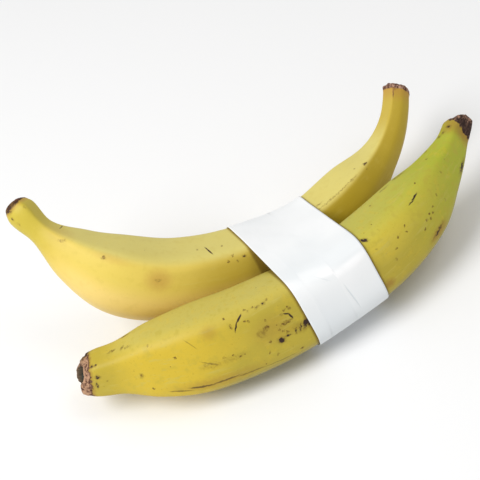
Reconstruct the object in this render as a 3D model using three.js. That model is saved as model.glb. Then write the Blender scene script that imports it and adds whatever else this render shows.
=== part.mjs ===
// Two ripe plantains held side by side by a plain white band.
// Millimetres, +Z up. The pair lies on the plane z = 0, the band's axis is along X, the flower ends
// point to -X and the stem ends to +X.
import * as THREE from 'three';

// The fruits. Each centre line is a flat curve: its heading turns steadily by `bend`, with an extra
// turn near the flower end and near the stem end. The plane of that curve leans up by `tilt`.
// Angles are degrees, places along the fruit are fractions of its length. `ridges` says how sharp the
// ridges are at the flower end, in the middle and at the stem end. The stem end is cut aslant: its
// hollow side is shorter by `stemSlant`, and it leans to that side by `stemLean`.
const FRONT = {
  name: 'front_plantain',
  color: 0xc8b24a,
  length: 255.8,
  bend: 67.6,
  flowerTurn: -10,
  flowerTurnAt: 0.12,
  stemTurn: 3.5,
  stemTurnAt: 0.7,
  tilt: 15,
  yaw: -1.9,
  pitch: 3.7,
  middle: [11.1, -58.4],
  radii: [7.7, 10.7, 12.6, 17.9, 21.5, 21.6, 20.5, 20.3, 17.7, 11.8, 7.6, 6.4],
  faces: [-45, 30, 98, 157, 224],
  pressedFace: 98,
  twist: 8,
  ridges: [6.5, 5, 7],
  flowerEdge: 2,
  stemEdge: 4.5,
  stemSlant: 7,
  stemLean: 1.8,
};
const REAR = {
  name: 'rear_plantain',
  color: 0xd8c064,
  length: 274,
  bend: 101.4,
  flowerTurn: 18.1,
  flowerTurnAt: 0.26,
  stemTurn: 19.9,
  stemTurnAt: 0.91,
  tilt: 42,
  yaw: -9.8,
  pitch: -11.2,
  middle: [-3.8, -16.6],
  radii: [5.2, 7.9, 7.0, 13.7, 20.0, 20.5, 19.3, 16.4, 15.8, 10.0, 7.4, 6.6],
  faces: [-20, 52, 124, 196, 268, -50],
  pressedFace: -50,
  twist: 0,
  ridges: [9, 9, 16],
  flowerEdge: 3,
  stemEdge: 1.6,
  stemSlant: 0,
  stemLean: 0,
};

const RADIUS_AT = [0, 0.025, 0.08, 0.15, 0.24, 0.36, 0.5, 0.64, 0.76, 0.85, 0.93, 1];
const TURN_SPREAD = 0.07;
const RIDGES_AT = [0, 0.5, 1];
const PRESSED_IN = 0.95;
const STEM_SPREAD = 28;
const EDGE_STEPS = 4;
const RINGS = 50;
const SEGMENTS = 40;

// The band, wrapped at right angles to X.
const BAND_FROM = -4;
const BAND_TO = 38;
const BAND_GAP = 0.3;
const BAND_THICKNESS = 0.6;
const BAND_STATIONS = 8;
const BAND_SEGMENTS = 112;
const BAND_LIFT = BAND_GAP + BAND_THICKNESS;
const TABLE_GAP = 0;
const FLAT_EDGE = THREE.MathUtils.degToRad(0.01);

const rad = THREE.MathUtils.degToRad;

// A smooth curve through the values, flat-sided like a drawn spline.
function smoothValue(places, values, at) {
  const last = places.length - 1;
  let i = 0;
  while (i < last - 1 && at > places[i + 1]) i += 1;
  const slope = (k) => {
    const a = Math.max(k - 1, 0);
    const b = Math.min(k + 1, last);
    return (values[b] - values[a]) / (places[b] - places[a]);
  };
  const step = places[i + 1] - places[i];
  const t = (at - places[i]) / step;
  return (
    (1 + 2 * t) * (1 - t) ** 2 * values[i] +
    t * (1 - t) ** 2 * step * slope(i) +
    t * t * (3 - 2 * t) * values[i + 1] +
    t * t * (t - 1) * step * slope(i + 1)
  );
}

function heading(fruit, at) {
  const turned = (place) => 0.5 * (1 + Math.tanh((at - place) / TURN_SPREAD));
  return rad(
    fruit.bend * (at - 0.5) +
      fruit.flowerTurn * turned(fruit.flowerTurnAt) +
      fruit.stemTurn * turned(fruit.stemTurnAt)
  );
}

// The centre line in its own plane, with its chord laid along the first axis.
function centreLine(fruit, steps = 400) {
  const u = [0];
  const v = [0];
  const step = fruit.length / steps;
  for (let i = 0; i < steps; i += 1) {
    const angle = heading(fruit, (i + 0.5) / steps);
    u.push(u[i] + Math.cos(angle) * step);
    v.push(v[i] + Math.sin(angle) * step);
  }
  const chord = Math.atan2(v[steps], u[steps]);
  const along = u.map((_, i) => u[i] * Math.cos(chord) + v[i] * Math.sin(chord));
  const across = u.map((_, i) => v[i] * Math.cos(chord) - u[i] * Math.sin(chord));
  const lowest = Math.min(...across);
  return (at) => {
    const i = Math.min(Math.floor(at * steps), steps - 1);
    const t = at * steps - i;
    const mix = (list) => list[i] + (list[i + 1] - list[i]) * t;
    return { u: mix(along) - along[steps] / 2, v: mix(across) - lowest, angle: heading(fruit, at) - chord };
  };
}

// The rounded five-sided section, as a share of its mean radius. The face that leans on the other
// fruit is pressed a little flatter.
function sectionShape(fruit, at) {
  const power = smoothValue(RIDGES_AT, fruit.ridges, at);
  const turn = fruit.twist * (0.5 - at);
  const reach = (angle) => {
    let sum = 0;
    for (const face of fruit.faces) {
      const away = face === fruit.pressedFace ? PRESSED_IN : 1;
      sum += Math.max(0, Math.cos(angle - rad(face + turn)) / away) ** power;
    }
    return sum ** (-1 / power);
  };
  let mean = 0;
  for (let i = 0; i < 72; i += 1) mean += reach(rad(5 * i)) / 72;
  return (angle) => reach(angle) / mean;
}

// The profile of a straight fruit: a flat end, a rounded edge, the body, and the same at the stem.
function fruitProfile(fruit) {
  const radiusAt = (y) => smoothValue(RADIUS_AT, fruit.radii, y / fruit.length);
  const edgePoints = (edge, placeOf) =>
    Array.from({ length: EDGE_STEPS }, (_, i) => {
      const angle = (i / EDGE_STEPS) * (Math.PI / 2);
      const y = placeOf(edge * (1 - Math.cos(angle)));
      return new THREE.Vector2(radiusAt(y) - edge * (1 - Math.sin(angle)), y);
    });
  const bodyLength = fruit.length - fruit.flowerEdge - fruit.stemEdge;
  const bodyPoints = Array.from({ length: RINGS + 1 }, (_, i) => {
    const y = fruit.flowerEdge + bodyLength * (i / RINGS);
    return new THREE.Vector2(radiusAt(y), y);
  });
  return [
    new THREE.Vector2(0, 0),
    ...edgePoints(fruit.flowerEdge, (y) => y),
    ...bodyPoints,
    ...edgePoints(fruit.stemEdge, (y) => fruit.length - y).reverse(),
    new THREE.Vector2(0, fruit.length),
  ];
}

// The directions that the flat centre line lies in: along its chord, towards its hollow side, and
// square to both.
function planeOf(fruit) {
  const yaw = rad(fruit.yaw);
  const pitch = rad(fruit.pitch);
  const tilt = rad(fruit.tilt);
  const chord = new THREE.Vector3(Math.cos(yaw) * Math.cos(pitch), Math.sin(yaw) * Math.cos(pitch), Math.sin(pitch));
  const side = new THREE.Vector3(-Math.sin(yaw), Math.cos(yaw), 0);
  const up = new THREE.Vector3().crossVectors(chord, side);
  const inward = side.multiplyScalar(Math.cos(tilt)).addScaledVector(up, Math.sin(tilt));
  return { chord, inward, normal: new THREE.Vector3().crossVectors(chord, inward) };
}

// A lathe-turned body, straight along Y, whose every point is carried onto the bent centre line.
function fruitGeometry(fruit) {
  const profile = fruitProfile(fruit);
  const geometry = new THREE.LatheGeometry(profile, SEGMENTS);
  const line = centreLine(fruit);
  const { chord, inward, normal } = planeOf(fruit);
  const shapes = profile.map((p) => sectionShape(fruit, p.y / fruit.length));
  const position = geometry.attributes.position;
  const outward = new THREE.Vector3();
  const point = new THREE.Vector3();
  for (let i = 0; i < position.count; i += 1) {
    const ring = i % profile.length;
    const { x: radius, y } = profile[ring];
    const around = (Math.floor(i / profile.length) % SEGMENTS) * ((2 * Math.PI) / SEGMENTS);
    const atStem = THREE.MathUtils.smoothstep(y, fruit.length - STEM_SPREAD, fruit.length);
    const side = radius === 0 ? 0 : Math.sin(around);
    const { u, v, angle } = line((y - (fruit.stemSlant * atStem * (1 + side)) / 2) / fruit.length);
    outward.copy(chord).multiplyScalar(-Math.sin(angle)).addScaledVector(inward, Math.cos(angle));
    point.copy(chord).multiplyScalar(u).addScaledVector(inward, v);
    point.addScaledVector(outward, fruit.stemLean * atStem);
    outward.multiplyScalar(Math.sin(around)).addScaledVector(normal, Math.cos(around));
    point.addScaledVector(outward, radius * shapes[ring](around));
    position.setXYZ(i, point.x + fruit.middle[0], point.y + fruit.middle[1], point.z);
  }
  geometry.userData.rings = profile.length;
  settle(geometry);
  return faceOut(geometry);
}

// Lowers a fruit until it rests on the band's floor, or on the table beside the band.
function settle(geometry) {
  const position = geometry.attributes.position;
  let lift = -Infinity;
  for (let i = 0; i < position.count; i += 1) {
    const inBand = position.getX(i) > BAND_FROM - 3 && position.getX(i) < BAND_TO + 3;
    lift = Math.max(lift, (inBand ? BAND_LIFT : TABLE_GAP) - position.getZ(i));
  }
  geometry.translate(0, 0, lift);
}

// Turns the faces over when they look inwards.
function faceOut(geometry) {
  const { array } = geometry.index;
  const corners = [new THREE.Vector3(), new THREE.Vector3(), new THREE.Vector3()];
  let volume = 0;
  for (let i = 0; i < array.length; i += 3) {
    corners.forEach((corner, k) => corner.fromBufferAttribute(geometry.attributes.position, array[i + k]));
    volume += corners[0].dot(corners[1].cross(corners[2]));
  }
  if (volume < 0) {
    for (let i = 0; i < array.length; i += 3) [array[i], array[i + 1]] = [array[i + 1], array[i]];
  }
  geometry.computeVertexNormals();
  return geometry;
}

// Where the lines that run along a fruit pass through the plane at x.
function cutAt(geometry, x) {
  const { rings } = geometry.userData;
  const position = geometry.attributes.position;
  const points = [];
  for (let i = 0; i + 1 < position.count; i += 1) {
    if (i % rings === rings - 1) continue;
    const [x0, x1] = [position.getX(i), position.getX(i + 1)];
    if ((x0 - x) * (x1 - x) > 0 || x0 === x1) continue;
    const t = (x - x0) / (x1 - x0);
    const y = position.getY(i) + (position.getY(i + 1) - position.getY(i)) * t;
    const z = position.getZ(i) + (position.getZ(i + 1) - position.getZ(i)) * t;
    points.push(new THREE.Vector2(y, z));
  }
  return points;
}

// The points that a strip drawn tight round both fruits would touch at x. The weight presses the
// strip flat on the table from under the middle of one fruit to under the middle of the other.
function touchPoints(fruits, x) {
  return fruits.flatMap((geometry) => {
    const points = cutAt(geometry, x);
    const middle = points.reduce((sum, p) => sum + p.x / points.length, 0);
    return [...points, new THREE.Vector2(middle, BAND_LIFT)];
  });
}

// A straight square-edged ring, whose every point is carried out to the tight outline: the furthest
// touch point in its own direction, and then the point's own distance off it.
function bandGeometry(fruits) {
  const profile = [];
  for (let i = 0; i < BAND_STATIONS; i += 1) profile.push([BAND_GAP, i]);
  for (let i = BAND_STATIONS - 1; i >= 0; i -= 1) profile.push([BAND_LIFT, i]);
  profile.push(profile[0]);
  const geometry = new THREE.LatheGeometry(profile.map(([off, i]) => new THREE.Vector2(10 + off, i)), BAND_SEGMENTS);
  const stationX = (i) => BAND_FROM + ((BAND_TO - BAND_FROM) * i) / (BAND_STATIONS - 1);
  const touched = Array.from({ length: BAND_STATIONS }, (_, i) => touchPoints(fruits, stationX(i)));
  const position = geometry.attributes.position;
  for (let i = 0; i < position.count; i += 1) {
    const [off, station] = profile[i % profile.length];
    const turn = Math.floor(i / profile.length) % BAND_SEGMENTS;
    const angle = -Math.PI / 2 + FLAT_EDGE + (turn * (2 * Math.PI - 2 * FLAT_EDGE)) / (BAND_SEGMENTS - 1);
    const way = new THREE.Vector2(Math.cos(angle), Math.sin(angle));
    const furthest = touched[station].reduce((a, b) => (b.dot(way) > a.dot(way) ? b : a));
    position.setXYZ(i, stationX(station), furthest.x + off * way.x, furthest.y + off * way.y);
  }
  return faceOut(geometry);
}

function mesh(name, geometry, color, roughness) {
  const material = new THREE.MeshStandardMaterial({ color, roughness, metalness: 0 });
  const result = new THREE.Mesh(geometry, material);
  result.name = name;
  return result;
}

const front = fruitGeometry(FRONT);
const rear = fruitGeometry(REAR);
const group = new THREE.Group();
group.add(mesh(FRONT.name, front, FRONT.color, 0.5));
group.add(mesh(REAR.name, rear, REAR.color, 0.5));
group.add(mesh('band', bandGeometry([front, rear]), 0xf4f5f5, 0.35));

// The origin is under the middle of the whole pair.
const middle = new THREE.Box3().setFromObject(group).getCenter(new THREE.Vector3());
group.position.set(-middle.x, -middle.y, 0);

export default group;
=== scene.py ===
"""Looks for two ripe plantains held side by side by a plain white band.

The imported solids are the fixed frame. Both fruits and the band are made again here from the sizes
in the part's source, with finer faces, ragged ends and marked peel. Lengths are millimetres, and
finished points are turned into metres. The stage's lengths are metres. Angles are degrees.
"""

import functools
import math

import bpy
import numpy as np
from bpy.props import FloatProperty, FloatVectorProperty, PointerProperty
from mathutils import Matrix, Vector, noise
from mathutils.bvhtree import BVHTree


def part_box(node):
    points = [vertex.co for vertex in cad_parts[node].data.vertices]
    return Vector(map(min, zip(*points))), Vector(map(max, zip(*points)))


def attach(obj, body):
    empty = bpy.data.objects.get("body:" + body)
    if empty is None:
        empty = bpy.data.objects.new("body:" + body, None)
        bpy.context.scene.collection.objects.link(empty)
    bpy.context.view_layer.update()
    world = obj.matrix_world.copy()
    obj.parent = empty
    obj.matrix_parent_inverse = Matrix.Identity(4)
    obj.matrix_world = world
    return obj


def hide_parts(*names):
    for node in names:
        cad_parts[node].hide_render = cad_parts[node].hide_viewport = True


bl_info = {
    "name": "Banded plantains",
    "version": (1, 0, 0),
    "blender": (4, 5, 0),
    "location": "3D View > Sidebar > Plantains",
    "description": "Builds two banded plantains over the packed solids, and their plain stage",
    "category": "Object",
}

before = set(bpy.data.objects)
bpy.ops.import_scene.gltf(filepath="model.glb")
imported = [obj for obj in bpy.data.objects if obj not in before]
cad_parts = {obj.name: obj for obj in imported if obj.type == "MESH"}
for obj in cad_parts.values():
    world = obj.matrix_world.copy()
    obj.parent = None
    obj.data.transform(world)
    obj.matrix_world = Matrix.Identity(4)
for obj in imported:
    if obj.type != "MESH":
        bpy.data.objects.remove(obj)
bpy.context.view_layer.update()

MM = 0.001

# The fruits, with the part's own sizes. A place along a fruit is a share of its length, counted
# from the flower end. An angle around it is counted from the side that faces up and to the front,
# towards the hollow side.
FRONT = {
    "node": "front_plantain",
    "slot": "front_peel",
    "length": 255.8,
    "bend": 67.6,
    "flower_turn": -10,
    "flower_turn_at": 0.12,
    "stem_turn": 3.5,
    "stem_turn_at": 0.7,
    "tilt": 15,
    "yaw": -1.9,
    "pitch": 3.7,
    "middle": (11.1, -58.4),
    "radii": (7.7, 10.7, 12.6, 17.9, 21.5, 21.6, 20.5, 20.3, 17.7, 11.8, 7.6, 6.4),
    "faces": (-45, 30, 98, 157, 224),
    "pressed_face": 98,
    "twist": 8,
    "ridges": (6.5, 5, 7),
    "flower_edge": 2,
    "stem_edge": 4.5,
    "stem_slant": 7,
    "stem_lean": 1.8,
    "crust": 4.8,
    "crust_lumps": 0.8,
    "crust_slant": 7.5,
    "crust_faces": -5,
    "hollow": 4,
    "hollow_turn": -155,
    "hollow_off": 0.45,
    "cap": 1.5,
    "cap_point": 12,
    "cap_slant": 0,
    "cap_faces": 0,
    "ragged": 5,
    "mottled": 1.4,
    "freckled": 0.35,
    "ridge_turns": (-22, -6, 0, 0, 0),
    "half": 136,
    "seed": 3,
}
REAR = {
    "node": "rear_plantain",
    "slot": "rear_peel",
    "length": 274,
    "bend": 101.4,
    "flower_turn": 18.1,
    "flower_turn_at": 0.26,
    "stem_turn": 19.9,
    "stem_turn_at": 0.91,
    "tilt": 42,
    "yaw": -9.8,
    "pitch": -11.2,
    "middle": (-3.8, -16.6),
    "radii": (5.2, 7.9, 7.0, 13.7, 20.0, 20.5, 19.3, 16.4, 15.8, 10.0, 7.4, 6.6),
    "faces": (-20, 52, 124, 196, 268, -50),
    "pressed_face": -50,
    "twist": 0,
    "ridges": (9, 9, 16),
    "flower_edge": 3,
    "stem_edge": 1.6,
    "stem_slant": 0,
    "stem_lean": 0,
    "crust": 2.4,
    "crust_lumps": 0.3,
    "crust_slant": 0,
    "crust_faces": 0,
    "hollow": 1.2,
    "hollow_turn": 0,
    "hollow_off": 0,
    "cap": 3,
    "cap_point": 0,
    "cap_slant": 3.2,
    "cap_faces": 75,
    "ragged": 1.6,
    "mottled": 0.4,
    "freckled": 0.05,
    "ridge_turns": (0, 0, 4, 18, 18),
    "half": 160,
    "seed": 8,
}
FRUITS = {fruit["node"]: fruit for fruit in (FRONT, REAR)}

# The shares of the length at which the radii, the ridges' sharpness and the ridges' turns are given.
RADIUS_AT = (0, 0.025, 0.08, 0.15, 0.24, 0.36, 0.5, 0.64, 0.76, 0.85, 0.93, 1)
RIDGES_AT = (0, 0.5, 1)
RIDGE_TURNS_AT = (0, 0.16, 0.75, 0.9, 1)

# The share of the length over which the centre line turns at an end, how far from its face the stem
# begins to slant and lean, how near the pressed side lies, and the steps of the centre line.
TURN_SPREAD = 0.07
STEM_SPREAD = 28
PRESSED_IN = 0.95
LINE_STEPS = 400

# The dried ends: how soft their edges are, how far from an end's face its slant fades out, and the
# share of the slant that goes towards the flower end.
CRUST_SOFT = 2
CAP_SOFT = 1.5
SLANT_REACH = 12
SLANT_BACK = 0.6

# Marks on the peel: distance along the fruit, angle around it, length, width, turn away from the
# fruit's own line, and strength. Specks are round and have distance, angle and strength alone. The
# last marks of each list lie on the sides that the camera doesn't see.
FRONT_CUTS = (
    (86, -14, 4.8, 1, 42, 1),
    (83.2, -22, 5.4, 0.8, 62, 1),
    (107.2, -34, 2.8, 0.8, 150, 1),
    (108.7, -39.5, 3.6, 1, 108, 1),
    (192.5, -16, 5, 1, 8, 1),
    (189, -18, 4, 0.7, -4, 0.9),
    (60, -24, 7.5, 0.6, 128, 0.35),
    (66, -57, 9, 0.8, -28, 0.35),
    (49, -85, 12, 0.7, -3, 0.6),
    (59, -83, 12, 1, -3, 0.75),
    (70, -82.5, 13, 0.8, 2, 0.65),
    (82, -84, 12, 0.7, -2, 0.5),
    (96, -86, 16, 0.5, -3, 0.4),
    (74, 150, 9, 0.8, 12, 0.8),
    (40, 175, 6, 0.7, -30, 0.6),
    (178, 160, 12, 0.9, 6, 0.85),
    (205, 205, 7, 0.7, -20, 0.7),
)
FRONT_BLOTCHES = (
    (100, -64, 3.6, 3, 0, 1),
    (103.5, -62, 4, 1.3, -8, 0.8),
    (108, -61, 3.4, 1.6, 60, 0.75),
    (110.5, -60.5, 5, 1.8, 62, 0.85),
    (113, -59.5, 6, 2.6, 58, 0.95),
    (115.5, -57, 6.5, 3, 60, 1),
    (158, -10, 4.8, 1.9, -38, 0.95),
    (241, 34, 3, 2, 0, 0.75),
    (246, 16, 3.4, 2, 30, 0.85),
    (237, 44, 4, 2, 0, 0.7),
    (224, 49, 2.8, 1.3, 0, 0.6),
    (27, 45, 7, 1.3, 0, 0.8),
    (9.5, -45, 3.4, 2.2, 0, 0.95),
    (10, -14, 2, 1.2, 30, 0.8),
    (7, -14, 2.4, 1.3, 50, 0.8),
    (25, 10, 2.8, 1.8, 40, 0.7),
    (96, -10, 2, 1.3, 20, 0.7),
    (99.3, -9, 2.2, 1.8, 10, 0.75),
    (101.6, -6, 2, 1.3, 10, 0.7),
    (111.5, -60, 11, 4.4, -10, 0.5),
    (190, -82, 10, 1.2, 4, 0.85),
    (3, 50, 8, 5, 0, 1),
    (8, -70, 1.6, 4, 0, 0.8),
    (226, -84, 9, 2, 0, 0.85),
    (118, 165, 4, 2, 20, 0.8),
    (52, 215, 5, 3, 0, 0.7),
    (160, 190, 5, 2.4, 10, 0.9),
    (215, 150, 3.4, 2, 0, 0.8),
    (190, 222, 4, 2, 30, 0.7),
)
FRONT_STAINS = (
    (105.5, -45, 5.6, 1.6, 4, 0.9),
    (93, -44, 4.4, 4, 0, 0.4),
    (95.5, -40, 3, 2.4, 0, 0.6),
    (19, 14, 4.4, 1.6, 10, 0.6),
    (28, 5, 3, 1.6, 10, 0.5),
    (66, -60, 9, 3.4, -5, 0.3),
    (77, -60, 12, 3, 0, 0.2),
    (202, 48, 9, 2.2, 0, 0.55),
    (190, 46, 7, 1.6, 0, 0.4),
    (32, -57, 3, 2, 80, 0.5),
    (170, 140, 9, 3, 0, 0.5),
    (200, 180, 7, 3, 10, 0.5),
)
FRONT_SPECKS = (
    (79, -8, 0.8), (81, -18, 0.7), (81, -21, 0.7), (88, -20, 0.95), (89.5, -22, 0.7), (90, -7, 0.8),
    (94, -8, 0.8), (91, -10, 0.6), (109, -26, 0.85), (109.5, -29, 0.8), (107, -28, 0.6), (105, -32, 0.6),
    (97, -38, 0.8), (97, -29, 0.6), (101, -50, 0.7), (102.5, -54, 0.6), (104, -58, 0.7), (95, -60, 0.7),
    (51, -36, 0.9), (77, -57, 0.9), (80, -61, 0.95), (73, -55, 0.6), (107, -85, 0.8), (96, -78, 0.7),
    (93, -72, 0.6), (39, -9, 0.6), (32, -57, 0.95), (218, 22, 0.95), (199, -2, 0.7), (202, -46, 0.6),
    (204, -68, 0.6), (178, -34, 0.9), (177, -42, 0.7), (172, -39, 0.6), (185, -64, 0.9), (176, 35, 0.6),
    (192, -54, 0.8), (194, -58, 0.7), (191, -60, 0.7), (196, -52, 0.6), (189, -57, 0.6), (214, -30, 0.6),
    (36, -80, 0.9), (8, -14, 0.7), (14, -60, 0.5), (168, -50, 0.6), (165, -62, 0.7), (160, -30, 0.6),
    (45, 160, 0.8), (66, 185, 0.7), (84, 170, 0.9), (102, 200, 0.8), (124, 150, 0.7), (150, 170, 0.9),
    (166, 210, 0.7), (186, 175, 0.8), (198, 150, 0.7), (222, 190, 0.8), (230, 165, 0.6), (140, 220, 0.7),
)
FRONT_BRUISES = (
    (70, -18, 7, 6, 0, 0.35),
    (156, -80, 5, 3.4, 0, 0.75),
    (98, -45, 16, 12, 0, 0.3),
    (190, -84, 12, 4, 0, 0.75),
    (245, 10, 9, 12, 0, 0.55),
    (66, -82, 40, 5, 0, 0.45),
    (243, -60, 6, 9, 0, 0.6),
    (90, 190, 16, 9, 0, 0.45),
    (182, 195, 18, 10, 0, 0.5),
)
REAR_CUTS = (
    (114.8, 33, 8, 0.9, 108, 1),
    (28, 64, 4.4, 0.8, 90, 0.7),
    (270, 31, 8, 0.9, 0, 1),
    (271.5, 28, 4, 1.6, 12, 0.9),
    (70, 140, 10, 0.8, 10, 0.8),
    (120, 170, 7, 0.7, -25, 0.7),
    (182, 150, 12, 0.8, 4, 0.8),
    (215, 200, 7, 0.7, 15, 0.7),
)
REAR_BLOTCHES = (
    (132, 9, 2.2, 1.3, 0, 1),
    (220, 26, 2.4, 1.5, 0, 1),
    (11, -52, 2.2, 1, 0, 0.6),
    (1.5, -45, 5, 6, 0, 1),
    (7, -58, 2.4, 1.2, 0, 0.8),
    (184, 31, 4, 1.2, 0, 0.6),
    (96, 190, 4.4, 2.2, 0, 0.8),
    (140, 150, 4, 2, 20, 0.9),
    (172, 200, 5, 2.4, 0, 0.9),
    (205, 160, 3.4, 2, 0, 0.8),
    (230, 130, 3, 1.6, 0, 0.8),
)
REAR_STAINS = (
    (33, 6, 4, 1.6, 30, 0.5),
    (56, 9, 2.8, 1.6, 20, 0.8),
    (207, 22, 2.6, 1.4, 0, 0.5),
    (194, 22, 38, 0.9, 0, 0.4),
    (86, -5, 2.6, 2, 0, 0.4),
    (60, 200, 9, 3, 0, 0.5),
    (108, 140, 7, 3, 5, 0.5),
    (190, 180, 9, 3, 0, 0.5),
)
REAR_SPECKS = (
    (126, 14, 0.8), (123, 8, 0.8), (109, 40, 0.5), (123, 37, 0.6), (7, 14, 0.6), (214, 37, 0.7),
    (81, -102, 0.6), (218, 15, 0.5), (128, 6, 0.6),
    (50, 150, 0.8), (78, 180, 0.7), (90, 130, 0.8), (112, 200, 0.8), (130, 165, 0.7), (150, 190, 0.8),
    (176, 140, 0.8), (196, 175, 0.7), (212, 150, 0.8), (226, 185, 0.7),
)
REAR_BRUISES = (
    (86, -5, 11, 9, 0, 0.55),
    (30, 30, 14, 8, 0, 0.2),
    (60, 12, 20, 4, 0, 0.25),
    (84, 160, 16, 10, 0, 0.45),
    (200, 140, 16, 8, 0, 0.45),
)
FRONT_MARKS = {
    "cuts": FRONT_CUTS, "blotches": FRONT_BLOTCHES, "stains": FRONT_STAINS, "specks": FRONT_SPECKS,
    "bruises": FRONT_BRUISES,
}
REAR_MARKS = {
    "cuts": REAR_CUTS, "blotches": REAR_BLOTCHES, "stains": REAR_STAINS, "specks": REAR_SPECKS,
    "bruises": REAR_BRUISES,
}
SPECK_SIZE = 1.3

# How finely the skin is cut, and its gentle waves.
BODY_STEPS = 300
FACE_STEPS = 9
EDGE_STEPS = 6
AROUND_STEPS = 220
WAVE_HEIGHT = 0.25
WAVE_SIZE = 24

# How far from a fruit the other one is looked for, and how much more a gap to it counts than a gap
# to the band, so that the painted shade line between the fruits is the thinner one.
NEAR_MOST = 4
GAP_WEIGHT = 1.8

# The band: where it starts and ends along X before the pair is centred, and how finely it is cut.
BAND_FROM = -4
BAND_TO = 38
BAND_ALONG = 56
BAND_AROUND = 460
OUTLINE_WAYS = 1441
SAME_SPOT = 1e-6

# Its layers: how far its face stands out from the fruits' outline, its thickness, and the length
# at its start that lies deeper, with its slope and its depth, so that the lapped end shows as a step.
BAND_OFF = 0.85
BAND_SHEET = 0.25
BAND_TUCK = 18
BAND_TUCK_SLOPE = 4
BAND_STEP_IN = 0.35

# Its lowest line, its small waves and the height that they start at, and how far its corners are
# rounded, which begins and is full at these heights above the lowest line.
BAND_FLOOR = 0.9
BAND_WAVE = 0.12
BAND_WAVE_SIZE = 12
BAND_WAVE_FROM = 2
BAND_WAVE_SEED = 5
BAND_SOFT = 5
BAND_SOFT_FROM = 0.5
BAND_SOFT_FULL = 6

# Marks on the band: X in the finished pair, run round the strip from under the rear fruit, length,
# width, turn away from X, and strength.
# The shines are painted highlights along the stretched crease.
BAND_SHINES = (
    (7, 113.6, 13, 3.4, -10, 0.9),
    (19.5, 111, 15, 4, -10, 0.9),
)
# The folds are thin lines of painted shade, with a small bump.
BAND_SHADED_FOLDS = (
    (10.6, 126.5, 13, 0.8, 82, 0.7),
    (1.5, 116, 6, 0.7, 35, 0.4),
)

# The stage, in metres: the floor, and the two round lights with the place that both are aimed at.
FLOOR_HALF = 4
FLOOR_DROP = 0.0001
LIGHTS_AIM = (0, 0, 0.03)
KEY_PLACE = (-0.84, -0.08, 1.12)
KEY_SIZE = 0.9
TOP_PLACE = (0.45, -0.38, 1.05)
TOP_SIZE = 0.5

# The camera: the width of its film in millimetres, how far it sees in metres, and the width of the
# picture in points.
CAMERA_FILM = 36
CAMERA_REACH = 20
IMAGE_SIZE = 480


def shown(red, green, blue):
    """A colour given as it shows on a screen, 0 to 255, as the renderer's own values."""
    shares = [part / 255 for part in (red, green, blue)]
    return tuple(
        share / 12.92 if share <= 0.04045 else ((share + 0.055) / 1.055) ** 2.4 for share in shares
    )


def colour_setting(name, description, default):
    return FloatVectorProperty(
        name=name, description=description, default=default, subtype="COLOR", size=3, min=0, max=1
    )


class FrontPeelSettings(bpy.types.PropertyGroup):
    main: colour_setting("Main", "Colour of most of the front peel", shown(216, 193, 68))
    light: colour_setting("Light", "Colour where the front peel is brightest", shown(209, 180, 50))
    # Deep is partly the peel's own olive tone and partly painted shade by the band and low on the fruit.
    deep: colour_setting("Deep", "Colour by the band and low on the fruit", shown(181, 162, 54))
    # Pale is partly the peel's own greener tone and partly painted sky sheen on the upward facet.
    pale: colour_setting("Pale", "Colour above the upper ridge", shown(196, 182, 90))
    green: colour_setting("Green", "Colour towards the stem", shown(172, 178, 47))
    brown: colour_setting("Brown", "Colour of scratches and blotches", shown(50, 30, 20))
    stain: colour_setting("Stain", "Colour of stains and specks", shown(112, 84, 22))
    bruise: colour_setting("Bruise", "Colour of soft bruises", shown(160, 120, 44))
    crust_dark: colour_setting("Crust, dark", "Dark parts of the flower end", shown(78, 44, 34))
    crust_light: colour_setting("Crust, light", "Light parts of the flower end", shown(184, 144, 112))
    cap_dark: colour_setting("Cap, dark", "Dark parts of the cut stem", shown(52, 32, 26))
    cap_light: colour_setting("Cap, light", "Light fibres of the cut stem", shown(186, 142, 116))
    hollow: colour_setting("Hollow", "Colour inside the flower end", shown(34, 42, 30))
    # The underside colour is painted light bounced up from the floor, on the lowest strip of the front fruit.
    under: colour_setting("Underside", "Colour low on the front peel", shown(160, 150, 92))


class RearPeelSettings(bpy.types.PropertyGroup):
    main: colour_setting("Main", "Colour of most of the rear peel", shown(212, 186, 78))
    # On the rear, light is painted light on the left belly where the lamp falls, and a painted highlight
    # along the ridge.
    light: colour_setting("Light", "Colour where the rear peel is brightest", shown(228, 202, 92))
    # Deep is partly the peel's own darker tone and partly painted shade by the band and towards the stem.
    deep: colour_setting("Deep", "Colour by the band and towards the stem", shown(192, 164, 44))
    # Pale is partly the peel's own greener tone and partly painted sky sheen on the upward facet.
    pale: colour_setting("Pale", "Colour of the facet above the ridge", shown(221, 206, 116))
    green: colour_setting("Green", "Colour of the thin neck at the flower end", shown(204, 184, 64))
    brown: colour_setting("Brown", "Colour of scratches and blotches", shown(72, 46, 28))
    stain: colour_setting("Stain", "Colour of stains and specks", shown(132, 102, 36))
    bruise: colour_setting("Bruise", "Colour of soft bruises", shown(190, 140, 62))
    crust_dark: colour_setting("Crust, dark", "Dark parts of the flower end", shown(46, 26, 18))
    crust_light: colour_setting("Crust, light", "Light parts of the flower end", shown(112, 66, 36))
    cap_dark: colour_setting("Cap, dark", "Dark parts of the cut stem", shown(92, 58, 44))
    cap_light: colour_setting("Cap, light", "Light fibres of the cut stem", shown(206, 164, 140))
    hollow: colour_setting("Hollow", "Colour inside the flower end", shown(60, 40, 28))
    # The underside colour is painted light bounced up from the floor, on the lower belly of the rear fruit.
    under: colour_setting("Underside", "Colour low on the rear peel", shown(246, 214, 128))


class BandSettings(bpy.types.PropertyGroup):
    colour: colour_setting("Colour", "Colour of the band", shown(247, 248, 248))
    # The shade colour is mostly painted shade, low on the front face, just above the crease and in the folds;
    # a little of it is faint dust.
    shade: colour_setting("Shade", "Colour where the band is dull", shown(216, 222, 225))
    roughness: FloatProperty(
        name="Roughness", description="How dull the band is", default=0.32, min=0, max=1, subtype="FACTOR"
    )


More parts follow.
